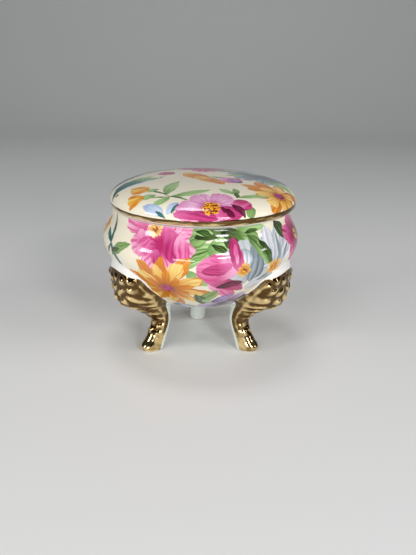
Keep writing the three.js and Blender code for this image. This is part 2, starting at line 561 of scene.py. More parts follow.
def make_bowl():
    points, quads = skin_mesh()
    bowl = new_object("bowl_porcelain", points, quads.tolist())
    hollow(bowl, bowl_cavity())
    bowl.data.shade_smooth()
    points = mesh_points(bowl)
    outside = np.abs(skin_distance(points)) < 0.03
    inner_top = np.hypot(points[:, 0], points[:, 1]) < RIM_RADIUS - 1.6
    outside &= ~((points[:, 2] > RIM_HEIGHT - 0.2) & inner_top)
    soft_normals(bowl, points, outside)
    gold, leg_gap, relief_for_painted_shade = gilding(points)
    keep_values(bowl, "outside", outside)
    keep_values(bowl, "gold", np.where(outside, gold, -5))
    border = np.interp(points[:, 2], BORDER_HEIGHTS, BORDER_WIDTHS)
    keep_values(bowl, "beside_leg", border - leg_gap)
    # How light the gilding is painted: the relief's height, which sets the painted shade in its
    # hollows
    keep_values(bowl, "relief_for_painted_shade", relief_for_painted_shade)
    keep_values(bowl, "run", run_at(points[:, 2]))
    return bowl


def lid_dome(radius, rise, count):
    """A dome's profile, from its top to where the lid's edge begins."""
    turn = np.linspace(0, math.pi / 2, count)
    power = 2 / DOME_SQUARENESS
    across = radius * np.sin(turn) ** power
    return np.column_stack([across, LID_SPRING + rise * np.cos(turn) ** power])


LID_DOME = lid_dome(LID_RADIUS, LID_RISE, 90)
LID_DOME_RUN = run_along(LID_DOME)


def lid_profile():
    """The dome, the rounded edge, the locating ring and the inside."""
    turn = np.linspace(0.12, math.pi / 2, 12)
    across = LID_ROUND_IN + (LID_RADIUS - LID_ROUND_IN) * np.cos(turn)
    corner = np.column_stack([across, LID_SPRING - LID_EDGE_HEIGHT * np.sin(turn)])
    hollow_radius = FLANGE_RADIUS - FLANGE_WALL
    inside = lid_dome(LID_RADIUS - LID_WALL, LID_RISE - LID_WALL, 60)
    inside = inside[inside[:, 0] < hollow_radius - 0.3]
    flange = np.array(
        [
            (FLANGE_RADIUS + 0.3, SEAT_HEIGHT),
            (FLANGE_RADIUS, SEAT_HEIGHT - 0.3),
            (FLANGE_RADIUS, LID_FOOT + 0.5),
            (FLANGE_RADIUS - 0.15, LID_FOOT + 0.15),
            (FLANGE_RADIUS - 0.5, LID_FOOT),
            (hollow_radius + 0.5, LID_FOOT),
            (hollow_radius + 0.15, LID_FOOT + 0.15),
            (hollow_radius, LID_FOOT + 0.5),
            (hollow_radius, inside[-1, 1] - 0.6),
        ]
    )
    profile = np.concatenate([LID_DOME, corner, flange, inside[::-1]])
    profile[0, 0] = 0
    profile[-1, 0] = 0
    return profile


def make_lid():
    lid = turned_mesh("lid_porcelain", lid_profile()[::-1], centre_x=LID_CENTRE_X)
    points = mesh_points(lid)
    place = points[:, :2] - (LID_CENTRE_X, 0)
    radius = np.hypot(*place.T)
    run = np.interp(radius, LID_DOME[:, 0], LID_DOME_RUN)
    below = points[:, 2] < LID_SPRING
    run[below] = LID_DOME_RUN[-1] + (LID_SPRING - points[below, 2])
    surface = np.interp(radius, *LID_DOME.T)
    outside = (below & (radius > LID_ROUND_IN - 0.1)) | (points[:, 2] > surface - 0.6)
    keep_values(lid, "outside", outside)
    keep_values(lid, "run", run)
    return lid


# Shader nodes


class Nodes:
    """A short way to add shader nodes, where an input is a number or another's output."""

    def __init__(self, tree):
        self.tree = tree

    def add(self, kind, inputs, output=0, **settings):
        node = self.tree.nodes.new(kind)
        for name, value in settings.items():
            setattr(node, name, value)
        for name, value in inputs.items():
            self.feed(node.inputs[name], value)
        return node.outputs[output]

    def feed(self, socket, value):
        if isinstance(value, bpy.types.NodeSocket):
            self.tree.links.new(value, socket)
        elif value is not None:
            socket.default_value = value

    def math(self, operation, a, b=None, c=None):
        return self.add("ShaderNodeMath", {0: a, 1: b, 2: c}, operation=operation)

    def times(self, a, b):
        return self.math("MULTIPLY", a, b)

    def plus(self, a, b):
        return self.math("ADD", a, b)

    def minus(self, a, b):
        return self.math("SUBTRACT", a, b)

    def scaled(self, value, factor, shift):
        return self.math("MULTIPLY_ADD", value, factor, shift)

    def vector(self, operation, a, b=None, c=None, output=0):
        inputs = {0: a, 1: b, 2: c}
        return self.add("ShaderNodeVectorMath", inputs, output, operation=operation)

    def mix(self, share, a, b):
        inputs = {0: share, 6: a, 7: b}
        return self.add("ShaderNodeMix", inputs, 2, data_type="RGBA")

    def combine(self, x, y, z=0.0):
        return self.add("ShaderNodeCombineXYZ", {0: x, 1: y, 2: z})

    def part(self, place, axis):
        """One of a vector's three numbers."""
        unit = [0.0, 0.0, 0.0]
        unit[axis] = 1.0
        return self.vector("DOT_PRODUCT", place, unit, output="Value")

    def object_place(self):
        return self.add("ShaderNodeTexCoord", {}, "Object")

    def stored(self, name):
        return self.add("ShaderNodeAttribute", {}, "Fac", attribute_name=name)

    def noise(self, place, scale, detail=0.0, output="Fac"):
        inputs = {"Vector": place, "Scale": scale, "Detail": detail}
        return self.add("ShaderNodeTexNoise", inputs, output)

    def grain(self, value, detail=0.0):
        """Noise along one number, for streaks."""
        inputs = {"W": value, "Scale": 1.0, "Detail": detail}
        return self.add("ShaderNodeTexNoise", inputs, "Fac", noise_dimensions="1D")

    def ramp(self, value, low, high):
        """From 0 at low to 1 at high, with eased ends."""
        inputs = {"Value": value, "From Min": low, "From Max": high}
        settings = {"interpolation_type": "SMOOTHSTEP", "clamp": False}
        return self.add("ShaderNodeMapRange", inputs, "Result", **settings)


def new_group(name, numbers, colours):
    """A node group for a motif, with named numbers and colours as its inputs. Gives its
    tree, its inputs and its output node."""
    tree = bpy.data.node_groups.new(name, "ShaderNodeTree")
    for kind, names in (("NodeSocketFloat", numbers), ("NodeSocketColor", colours)):
        for socket in names:
            tree.interface.new_socket(socket, in_out="INPUT", socket_type=kind)
    for kind, socket in (("NodeSocketColor", "Colour"), ("NodeSocketFloat", "Cover")):
        tree.interface.new_socket(socket, in_out="OUTPUT", socket_type=kind)
    given = tree.nodes.new("NodeGroupInput").outputs
    result = tree.nodes.new("NodeGroupOutput").inputs
    return tree, given, result


def bloom_group():
    """An open flower of radius 1: petals folded round the middle, streaked along their
    length, with a throat and a speckled heart."""
    numbers = ("Across", "Up", "Speck", "Petals", "Seed", "Shoulder", "Roundness", "Heart size")
    colours = ("Body", "Streak", "Tip", "Throat", "Heart", "Speckle")
    tree, given, result = new_group("bloom", numbers, colours)
    n = Nodes(tree)
    x = given["Across"]
    y = given["Up"]
    radius = n.math("SQRT", n.plus(n.times(x, x), n.times(y, y)))
    turn = n.math("ARCTAN2", y, x)
    count = n.math("DIVIDE", given["Petals"], 2 * math.pi)
    turn = n.scaled(turn, count, given["Seed"])
    number = n.math("FLOOR", turn)
    phase = n.minus(n.minus(turn, number), 0.5)
    aside = n.times(n.math("ABSOLUTE", phase), 2.0)
    chance = n.ramp(n.grain(n.times(number, 3.7)), 0.3, 0.7)
    length = n.scaled(chance, 0.2, 0.8)
    fall = n.times(n.math("POWER", aside, given["Roundness"]), given["Shoulder"])
    ripple = n.scaled(n.grain(n.times(turn, 3.1)), 0.16, -0.08)
    reach = n.scaled(n.times(fall, length), -1.0, length)
    reach = n.plus(reach, ripple)
    cover = n.ramp(n.minus(reach, radius), -0.025, 0.025)
    lines = n.scaled(phase, 8.0, n.times(number, 7.3))
    streak = n.ramp(n.grain(n.scaled(radius, 0.9, lines), 1.0), 0.36, 0.72)
    shade = n.scaled(phase, 0.7, 0.4)
    amount = n.times(streak, n.scaled(radius, -0.5, 1.0))
    amount = n.math("MAXIMUM", amount, n.times(shade, 0.8))
    colour = n.mix(amount, given["Body"], given["Streak"])
    lit = n.times(n.ramp(radius, 0.45, 0.95), n.minus(1.0, streak))
    colour = n.mix(n.times(lit, 0.85), colour, given["Tip"])
    gap = n.times(n.minus(1.0, aside), radius)
    gap = n.math("DIVIDE", gap, n.times(count, 2.0))
    seam = n.ramp(gap, 0.045, 0.0)
    colour = n.mix(n.times(seam, 0.6), colour, given["Streak"])
    throat = n.times(n.ramp(radius, 0.55, 0.15), 0.85)
    colour = n.mix(throat, colour, given["Throat"])
    speckles = n.ramp(given["Speck"], 0.5, 0.56)
    heart_colour = n.mix(speckles, given["Heart"], given["Speckle"])
    heart = n.minus(given["Heart size"], radius)
    heart = n.ramp(heart, -0.02, 0.02)
    ring = n.minus(radius, n.times(given["Heart size"], 1.25))
    ring = n.ramp(n.math("ABSOLUTE", ring), 0.05, 0.02)
    dots = n.times(ring, n.ramp(n.math("SINE", n.times(turn, 14.0)), 0.1, 0.5))
    colour = n.mix(n.times(dots, 0.9), colour, given["Speckle"])
    colour = n.mix(heart, colour, heart_colour)
    n.feed(result["Colour"], colour)
    n.feed(result["Cover"], n.math("MAXIMUM", cover, heart))
    return tree


def blade_group():
    """A leaf, petal or stalk from x -1 to x 1: half width, bluntness of the ends, bend,
    and a vein along its middle."""
    numbers = ("Along", "Across", "Width", "Blunt", "Bend", "Taper", "Seed", "Vein")
    tree, given, result = new_group("blade", numbers, ("Body", "Streak", "Base"))
    n = Nodes(tree)
    x = given["Along"]
    y = given["Across"]
    arch = n.minus(1.0, n.times(x, x))
    bent = n.minus(y, n.times(arch, given["Bend"]))
    arch = n.math("MAXIMUM", arch, 0.0)
    half = n.times(n.math("POWER", arch, given["Blunt"]), given["Width"])
    half = n.times(half, n.scaled(x, given["Taper"], 1.0))
    away = n.math("ABSOLUTE", bent)
    cover = n.ramp(n.minus(half, away), -0.02, 0.03)
    cover = n.times(cover, n.ramp(arch, 0.0, 0.03))
    across = n.math("DIVIDE", bent, n.math("MAXIMUM", half, 0.02))
    lines = n.scaled(across, 2.6, given["Seed"])
    streak = n.ramp(n.grain(n.scaled(x, 1.1, lines), 1.0), 0.36, 0.68)
    shade = n.ramp(across, 0.2, 1.0)
    colour = n.mix(n.math("MAXIMUM", streak, shade), given["Body"], given["Streak"])
    colour = n.mix(n.times(n.ramp(x, 0.1, -0.9), 0.8), colour, given["Base"])
    vein = n.times(n.ramp(away, 0.05, 0.02), given["Vein"])
    colour = n.mix(vein, colour, given["Base"])
    n.feed(result["Colour"], colour)
    n.feed(result["Cover"], cover)
    return tree


def paint(code):
    """A screen colour, written as in a drawing program, as the shader's own numbers."""
    shares = [int(code[i : i + 2], 16) / 255 for i in (0, 2, 4)]
    linear = [s / 12.92 if s <= 0.04045 else ((s + 0.055) / 1.055) ** 2.4 for s in shares]
    return (*linear, 1.0)


# Colours of the glaze, print and gold, and a dark gold for painted shade

CREAM = paint("e9e1cb")
UNDERSIDE = paint("d3dad2")
CLEAR_GLAZE = paint("ebe8e2")
SOLE = paint("d8d0c2")
SPECK = paint("8b7c68")
GOLD = (0.98, 0.74, 0.36, 1.0)
# Dark gold, for painted shade: it darkens the gilding in the carved relief's hollows and on the
# lid's band
GOLD_PAINTED_SHADE = (0.15, 0.085, 0.03, 1.0)

FLOWERS = {
    "peony": ("e27fb0", "c22f74", "f3c3da", "a81c58", "f1c85a", "8a3b1e"),
    "cosmos": ("ecc3dd", "cf6fae", "c24a96", "b2397c", "e9982a", "3a1420"),
    "daisy": ("d67e14", "a0540c", "e0941f", "b0600e", "b93478", "4d1d30"),
    "pale daisy": ("f0cf74", "cc7c14", "f3da8e", "bc6c12", "b93478", "5a2233"),
    "stamens": ("e8a830", "b9640c", "f2d070", "d07c12", "e89c1c", "6e3410"),
    "pale stamens": ("f0cc84", "d08a3c", "f6e2ae", "d8903c", "e8ac4c", "8a4a20"),
    "grey": ("d8d8de", "7c8888", "b4bcbe", "949f9f", "efdc96", "b8912e"),
    "slate": ("8796a2", "3f4a54", "b9c4ca", "4c5963", "4c5b60", "1e2628"),
    "lilac": ("c2b2d2", "7b6292", "dcd0e8", "5a4364", "7c6088", "382840"),
    "magenta": ("cf4389", "9a1a58", "ea8fba", "831446", "f0c76a", "6a1838"),
}
BLADES = {
    "leaf": ("8fb06c", "5f8444", "3f5c29"),
    "light leaf": ("abc98f", "84ab66", "5f8a46"),
    "dark leaf": ("4f6b31", "263a17", "161f0e"),
    "teal": ("3d7c74", "20544f", "173e3c"),
    "blue": ("c6d2e4", "a5b8d4", "8ea4c6"),
    "orange": ("e4922a", "bd6c18", "efb650"),
    "yellow": ("efcf66", "d9941e", "c86c10"),
    "pink": ("de76a9", "c4467f", "ecaccb"),
    "magenta": ("c23c78", "96225a", "d2689c"),
    "maroon": ("7c1c46", "3c0c22", "200a12"),
    "lilac": ("b9a0d4", "7a5498", "4a2d56"),
    "purple": ("7c6088", "4a3458", "382840"),
    "white": ("e9e7ec", "a3adb6", "8b969c"),
    "grey": ("97a2a8", "5d6970", "78848a"),
    "dot": ("8a5a33", "6a3f22", "5a3218"),
}


class Print:
    """Lays motifs one over another on a ground colour. The renderer holds few values at
    a time, so each motif is followed at once by its own layer, and its place is worked
    out with nodes between which no value changes its kind."""

    def __init__(self, nodes, ground, bloom, blade):
        self.nodes = nodes
        self.colour = ground
        self.bloom = bloom
        self.blade = blade
        object_place = nodes.object_place()
        self.speck = nodes.noise(object_place, 1500.0)

    def lay(self, group, numbers, paints):
        """Puts a motif over what is there, with its inputs in the order of its group."""
        node = self.nodes.tree.nodes.new("ShaderNodeGroup")
        node.node_tree = group
        values = [*numbers, *(paint(code) for code in paints)]
        for socket, value in zip(node.inputs, values):
            self.nodes.feed(socket, value)
        cover = self.nodes.times(node.outputs["Cover"], 0.96)
        self.colour = self.nodes.mix(cover, self.colour, node.outputs["Colour"])

    def flower(self, spot, radius, petals, paints, turn=0, shoulder=0.3, heart=0.2):
        across, up = self.local(spot, turn, radius)
        seed = 3 + self.seed(spot, 11) + 0.5 * (petals % 2)
        roundness = 2.2 if shoulder > 0.5 else 3.6
        numbers = (across, up, self.speck, petals, seed, shoulder, roundness, heart)
        self.lay(self.bloom, numbers, FLOWERS[paints])

    def shape(self, spot, length, width, paints, turn=0, bend=0.0, blunt=1.0, taper=0.0, vein=0.0):
        along, across = self.local(spot, turn, length / 2)
        seed = self.seed(spot, 37)
        numbers = (along, across, width / length, blunt, bend, taper, seed, vein)
        self.lay(self.blade, numbers, BLADES[paints])

    def leaf(self, start, end, width, paints, **more):
        """A shape from one spot to another."""
        across, up = self.way(start, end)
        middle = ((start[0] + end[0]) / 2, (start[1] + end[1]) / 2)
        turn = math.degrees(math.atan2(up, across))
        self.shape(middle, math.hypot(across, up), width, paints, turn=turn, **more)

    def petal(self, start, end, width, paints, **more):
        """A leaf with blunter ends."""
        self.leaf(start, end, width, paints, blunt=0.6, **more)

    def seed(self, spot, count):
        """A whole number below the count, which only the motif's place decides."""
        return int(10 * abs(7 * spot[0] + 13 * spot[1])) % count

    def local(self, spot, turn, reach):
        """Along and across a motif's own axis, from its middle, with its reach as 1."""
        away = self.from_spot(spot)
        cosine = math.cos(math.radians(turn)) / reach
        sine = math.sin(math.radians(turn)) / reach
        along = self.nodes.vector("DOT_PRODUCT", away, (cosine, sine, 0), output="Value")
        across = self.nodes.vector("DOT_PRODUCT", away, (-sine, cosine, 0), output="Value")
        return along, across


class BowlPrint(Print):
    """Spots are (azimuth in degrees, height). The print comes round again on the far
    side, half a turn on."""

    def __init__(self, nodes, ground, bloom, blade):
        super().__init__(nodes, ground, bloom, blade)
        place = nodes.object_place()
        drift = nodes.noise(place, 380.0, 1.0, "Color")
        drift = nodes.vector("MULTIPLY_ADD", drift, (0.0012,) * 3, (-0.0006,) * 3)
        place = nodes.vector("ADD", place, drift)
        x = nodes.part(place, 0)
        y = nodes.part(place, 1)
        azimuth = nodes.math("ARCTAN2", x, nodes.times(y, -1.0))
        radius = nodes.vector("LENGTH", nodes.combine(x, y), output="Value")
        self.stretch = nodes.combine(nodes.math("DIVIDE", radius, MM), -1.0, 0.0)
        run = nodes.scaled(nodes.part(drift, 2), 1 / MM, nodes.stored("run"))
        self.place = nodes.combine(azimuth, run)

    def from_spot(self, spot):
        azimuth, height = spot
        centre = (math.radians(azimuth), float(run_at(height)), 0)
        away = self.nodes.vector("SUBTRACT", self.place, centre)
        half_turn = math.pi / 2
        away = self.nodes.vector("WRAP", away, (half_turn, 900, 1), (-half_turn, -900, -1))
        return self.nodes.vector("MULTIPLY", away, self.stretch)

    def way(self, start, end):
        """How far it is across and up from one spot to another."""
        radius = np.interp((start[1] + end[1]) / 2, SIDE[:, 1], SIDE[:, 0])
        across = math.radians(end[0] - start[0]) * radius
        return across, float(run_at(start[1]) - run_at(end[1]))


class LidPrint(Print):
    """Spots are (right, back) from the lid's middle, as seen from above."""

    def __init__(self, nodes, ground, bloom, blade):
        super().__init__(nodes, ground, bloom, blade)
        place = nodes.object_place()
        drift = nodes.noise(place, 380.0, 1.0, "Color")
        drift = nodes.vector("MULTIPLY_ADD", drift, (1.2, 1.2, 0), (-0.6, -0.6, 0))
        place = nodes.vector("SUBTRACT", place, (LID_CENTRE_X * MM, 0, 0))
        place = nodes.vector("MULTIPLY", place, (1, 1, 0))
        outwards = nodes.vector("NORMALIZE", place)
        run = nodes.stored("run")
        flat = nodes.vector("MULTIPLY", outwards, nodes.combine(run, run, 0.0))
        self.place = nodes.vector("ADD", flat, drift)

    def from_spot(self, spot):
        radius = math.hypot(*spot)
        stretch = float(np.interp(radius, LID_DOME[:, 0], LID_DOME_RUN)) / max(radius, 0.1)
        centre = (spot[0] * stretch, spot[1] * stretch, 0)
        return self.nodes.vector("SUBTRACT", self.place, centre)

    def way(self, start, end):
        return end[0] - start[0], end[1] - start[1]


# Where the flowers are


def print_bowl(p):
    """Flowers of the bowl, from the back of the picture to the front."""
    # Stalks, leaves and a bud at the left
    p.leaf((-72, 33), (-57, 26), 2.6, "blue", blunt=0.7)
    p.leaf((-62, 41), (-48, 31.5), 2.2, "blue", bend=-0.1)
    p.leaf((-66, 48.5), (-60, 37), 1.5, "teal", bend=0.12)
    p.leaf((-63, 41), (-45, 30), 1.6, "teal", bend=-0.06)
    p.leaf((-60, 35.5), (-42, 41.2), 3.2, "leaf", bend=0.12, vein=0.4)
    p.leaf((-60, 36.5), (-50, 38.6), 1.4, "dark leaf", bend=0.12)
    p.leaf((-60, 39.5), (-70, 43), 1.9, "teal")
    p.leaf((-60, 39.5), (-66, 35), 1.3, "dark leaf")
    p.leaf((-78, 33), (-84, 44), 0.9, "teal", bend=0.1)
    p.leaf((-80, 39), (-89, 42), 2.8, "light leaf", bend=0.1)
    p.shape((-77.5, 42.8), 7.4, 3.4, "orange", turn=80, blunt=0.6)
    p.shape((-75.5, 41.8), 5.4, 1.7, "yellow", turn=60, blunt=0.7)
    p.flower((-88, 34), 7.4, 5, "magenta", turn=20, shoulder=0.35)
    p.leaf((-80, 31), (-69, 29), 2.6, "leaf")
    # Green behind the large flowers
    p.leaf((-14, 36.5), (8, 43.5), 6.4, "light leaf", bend=0.1, blunt=0.8)
    p.leaf((-12, 37.5), (6, 42.5), 3.6, "leaf", bend=0.1, vein=1.0)
    p.leaf((-10, 43), (4, 48), 5.6, "leaf", bend=-0.1, blunt=0.8, vein=0.5)
    p.leaf((-4, 45), (18, 48), 4.4, "dark leaf", bend=0.1)
    p.leaf((-6, 47.2), (8, 46.6), 2.2, "light leaf")
    p.leaf((4, 41.0), (20, 44.5), 6.4, "light leaf", blunt=0.7, vein=0.5)
    p.leaf((6, 43.5), (16, 40.5), 2.0, "dark leaf", bend=0.1)
    p.leaf((12, 47), (26, 44), 4.4, "dark leaf", blunt=0.8)
    p.leaf((20, 46.4), (36, 44.4), 5.6, "leaf", bend=-0.1, blunt=0.7, vein=0.6)
    p.leaf((20, 47.8), (42, 47.2), 3.0, "light leaf")
    p.leaf((26, 46.2), (36, 46.6), 1.6, "dark leaf")
    p.leaf((-3, 47.4), (7, 45.6), 1.9, "dark leaf", bend=0.1)
    p.leaf((13, 44.4), (19, 42.4), 2.2, "dark leaf", bend=-0.1)
    p.leaf((-8, 36), (4, 30), 4.4, "light leaf", blunt=0.8, vein=0.3)
    # The grey and white flowers at the right
    p.flower((27, 36.5), 10.4, 5, "grey", turn=25, shoulder=0.24, heart=0.0)
    p.petal((30.5, 42.5), (32, 30.5), 6.4, "grey", taper=0.2)
    p.petal((23.5, 42.0), (26, 36.5), 4.4, "white")
    p.petal((44, 34), (41, 47.5), 5.6, "white", taper=0.2)
    p.petal((45, 34), (52, 47), 5.4, "white", bend=-0.08, taper=0.2)
    p.petal((46, 33), (60, 42), 5.4, "white", taper=0.2)
    p.petal((44, 33), (31, 27.5), 5.2, "white", taper=0.2)
    p.petal((46, 32), (47, 25), 4.6, "grey")
    p.leaf((46, 33.5), (49.5, 45.5), 1.7, "grey", bend=-0.1)
    p.leaf((52, 36), (58, 41), 1.2, "grey", bend=0.1)
    p.leaf((36, 30.5), (42, 32.5), 1.6, "grey")
    p.leaf((28, 46), (42, 35.5), 4.2, "leaf", bend=0.1, vein=0.9)
    p.leaf((35, 44.5), (42.5, 35.5), 2.4, "dark leaf", bend=0.08)
    p.flower((45.5, 34.6), 3.4, 6, "stamens", shoulder=0.5, heart=0.3)
    p.leaf((50, 48), (60, 41), 4.4, "dark leaf", bend=0.1)
    # Peony under the lid, left of the middle
    p.flower((-25, 46.0), 13.0, 7, "peony", turn=12, shoulder=0.2, heart=0.0)
    p.flower((-22, 42.6), 8.8, 6, "peony", turn=40, shoulder=0.24, heart=0.0)
    p.petal((-18, 47.4), (-15, 38.2), 5.4, "magenta", bend=0.1)
    p.petal((-25, 41.5), (-22, 35.6), 3.6, "magenta")
    p.leaf((-38, 46), (-30, 39.5), 4.0, "pink", blunt=0.5)
    p.leaf((-12, 46), (-7, 38.2), 4.4, "pink", blunt=0.5, bend=-0.1)
    p.shape((-33, 42.0), 5.4, 3.8, "pink", turn=60, blunt=0.5)
    p.flower((-27.5, 46.6), 2.7, 11, "pale stamens", shoulder=0.3, heart=0.3)
    # The orange daisy
    p.flower((-20.5, 28.8), 14.8, 10, "daisy", turn=4, shoulder=0.56, heart=0.0)
    p.flower((-20.0, 28.4), 12.6, 9, "pale daisy", turn=26, shoulder=0.58, heart=0.0)
    p.flower((-20.8, 28.2), 8.6, 11, "daisy", turn=16, shoulder=0.56, heart=0.22)
    # Pink and deep pink petals in the middle
    p.petal((4, 31), (24, 23.8), 5.0, "pink", bend=0.14)
    p.petal((1, 33.0), (28, 27.4), 5.4, "magenta", bend=0.12)
    p.leaf((10, 29.5), (26, 31), 3.4, "maroon", blunt=0.7, bend=0.1)
    p.shape((9.3, 36.4), 12.6, 9.6, "pink", turn=182, blunt=0.5)
    p.petal((17, 37.8), (1, 36.0), 4.0, "magenta", bend=0.14)
    p.petal((14, 39.4), (5, 39.6), 1.6, "pink", bend=0.14)
    p.petal((21.8, 35.2), (18.4, 45.6), 4.2, "magenta", bend=0.06)
    p.petal((20, 38), (18.9, 43.6), 1.4, "pink")
    p.flower((24.5, 35.6), 2.6, 7, "stamens", shoulder=0.4, heart=0.3)
    # Below the widest part
    p.leaf((0, 22), (12, 28), 5.0, "leaf", blunt=0.8, vein=0.6)
    p.leaf((8, 19), (-4, 26.5), 3.8, "dark leaf")
    p.leaf((2, 24), (10, 21), 2.6, "light leaf")
    p.flower((25, 20.0), 9.4, 5, "lilac", turn=50, shoulder=0.3, heart=0.15)
    p.petal((11, 21.6), (25, 25.8), 3.8, "lilac")
    p.leaf((8, 17.6), (30, 20.4), 2.4, "purple", blunt=0.7)
    p.leaf((-32, 18.8), (-3, 18.4), 4.0, "teal", bend=0.12)
    p.leaf((-24, 20.6), (-5, 17.4), 2.8, "blue", bend=-0.1)
    p.leaf((-38, 24), (-52, 19), 3.6, "leaf", vein=0.5)
    p.leaf((36, 24), (45, 18), 3.0, "dark leaf")
    p.shape((41, 21), 2.8, 2.0, "yellow", blunt=0.5)
    # Pink flower at the right edge
    p.flower((74, 41), 10.4, 6, "magenta", turn=15, shoulder=0.28, heart=0.18)
    p.petal((64, 45.5), (68.5, 37.5), 3.6, "magenta", bend=-0.1)
    p.leaf((84, 47), (90, 38), 3.4, "leaf", bend=0.1, vein=0.5)
    p.leaf((79, 33), (92, 30), 4.0, "dark leaf", vein=0.3)
    p.flower((92, 24), 8.6, 9, "pale daisy", turn=15, shoulder=0.52, heart=0.18)


def print_lid(p):
    """Flowers of the lid, from the far side to the near side."""
    # The far side, mostly out of sight in a low view
    p.leaf((-24, 6), (-14, 16), 3.4, "leaf", bend=0.1, vein=0.6)
    p.leaf((-10, 19), (-20, 20), 3.0, "light leaf", vein=0.4)
    p.flower((-13, 22), 5.6, 9, "pale daisy", turn=20, shoulder=0.55)
    p.flower((-1.0, 19.5), 11.0, 6, "magenta", turn=10, shoulder=0.22)
    p.leaf((-16, 12.5), (-6, 17.5), 2.4, "light leaf", bend=0.1)
    p.leaf((12, 24), (20, 18), 3.0, "leaf", vein=0.5)
    p.shape((-12.2, 6.0), 6.0, 5.6, "magenta", turn=20, blunt=0.5)
    p.leaf((-12, 3), (-16, -3), 0.5, "teal", bend=0.1)
    # Grey flower at the right
    p.leaf((8, 9), (19, 9), 4.0, "leaf", bend=0.1)
    p.leaf((1.5, 12.5), (13, 9.5), 3.6, "grey", bend=0.1)
    p.flower((19.5, 8.0), 13.0, 7, "slate", turn=20, shoulder=0.3, heart=0.12)
    p.leaf((6, 19), (17, 10), 4.0, "grey", bend=0.12)
    p.leaf((12, 12.5), (22, 10.5), 3.4, "white")
    p.leaf((7, 3.2), (14, 6.2), 2.4, "light leaf")
    p.leaf((20, 1.2), (28.6, -6.5), 4.2, "light leaf", bend=0.14)
    # Buds near the middle
    p.leaf((9, -2), (1, 0.5), 1.8, "leaf", bend=-0.1)
    p.leaf((-6.5, 6.0), (1.5, -3.0), 7.0, "orange", blunt=0.7)
    p.leaf((-3.0, 0.5), (6.8, -9.4), 5.4, "orange", blunt=0.7, bend=0.05)
    p.leaf((-3.4, 2.5), (2.5, -3.4), 2.4, "yellow", blunt=0.7)
    p.shape((8.8, -3.8), 8.0, 7.0, "pink", turn=-35, blunt=0.5)
    p.petal((12.0, -7.0), (8.0, -1.4), 3.0, "lilac")
    # Orange daisy at the right
    p.flower((22.8, -12.5), 11.0, 8, "daisy", turn=16, shoulder=0.52, heart=0.0)
    p.leaf((23, -12), (11.6, -8.6), 4.2, "orange", blunt=0.7)
    p.flower((23.3, -13.2), 8.0, 7, "pale daisy", turn=40, shoulder=0.54, heart=0.22)
    # Long teal leaves at the left
    p.leaf((-30.4, -3.5), (-20.0, 8.5), 3.6, "teal", bend=0.12)
    p.leaf((-29.4, -10.4), (-14.5, -2.6), 6.6, "blue", bend=0.32)
    p.leaf((-29.6, -11.5), (-12.5, -1.4), 4.8, "teal", bend=0.38)
    p.leaf((-28.8, -11.0), (-18.0, -4.6), 2.4, "teal", bend=0.26)
    p.leaf((-24.5, -1.6), (-15.5, 1.6), 2.8, "light leaf", bend=0.1)
    p.leaf((-22.5, -3.4), (-13.0, -0.6), 1.8, "light leaf", bend=0.1)
    p.shape((-26.6, -10.9), 1.3, 1.0, "dot", blunt=0.5)
    # Two orange buds on their stalks
    p.leaf((-9.6, -20.8), (-18.0, -19.2), 0.9, "leaf", bend=0.08)
    p.leaf((-9.6, -20.6), (-17.5, -14.0), 0.9, "dark leaf", bend=-0.1)
    p.leaf((-14.0, -18.6), (-19.6, -19.8), 2.8, "light leaf")
    p.leaf((-13.4, -14.6), (-18.2, -14.6), 2.6, "light leaf")
    p.leaf((-17.6, -18.6), (-23.2, -19.2), 4.8, "yellow", blunt=0.5)
    p.petal((-18.2, -17.4), (-23.0, -17.0), 1.7, "orange", bend=-0.1)
    p.petal((-17.8, -19.8), (-22.8, -21.2), 1.8, "orange", bend=0.1)
    p.leaf((-16.4, -13.2), (-22.4, -12.8), 4.8, "yellow", blunt=0.5)
    p.petal((-16.6, -12.0), (-22.4, -10.8), 1.7, "orange", bend=-0.1)
    p.petal((-16.6, -14.4), (-21.8, -15.0), 1.8, "orange", bend=0.1)
    # Leaves where the stalks meet
    p.leaf((-10.8, -19.6), (-7.4, -6.4), 4.2, "light leaf", bend=0.12, vein=0.4)
    p.leaf((-10.2, -21.1), (2.4, -15.4), 3.4, "light leaf", bend=-0.1, vein=0.4)
    p.leaf((-9.6, -21.0), (-15.4, -24.4), 3.0, "light leaf", bend=0.1, vein=0.4)
    p.leaf((-10.6, -20.4), (-4.0, -24.0), 0.9, "dark leaf", bend=0.1)
    # Blue petals by the near edge
    p.leaf((-17.8, -22.6), (-11.2, -28.2), 3.8, "blue")
    p.leaf((-7.2, -24.0), (-10.6, -28.8), 3.2, "blue")
    p.leaf((-13.8, -25.6), (-10.8, -28.8), 1.2, "teal")
    p.leaf((-7.0, -24.8), (-9.4, -28.8), 1.4, "teal")
    # Sprig and long leaf right of the cosmos
    p.leaf((9.8, -18.5), (4.6, -14.0), 2.6, "light leaf", bend=0.1, vein=0.4)
    p.leaf((10.0, -18.4), (9.6, -13.4), 2.2, "leaf", vein=0.6)
    p.leaf((10.0, -21.4), (9.9, -17.0), 1.6, "dark leaf")
    p.leaf((9.8, -20.9), (20.4, -16.2), 2.4, "light leaf", bend=0.06, vein=0.4)
    p.leaf((13.0, -24.0), (14.6, -27.6), 3.4, "leaf", blunt=0.7, vein=0.6)
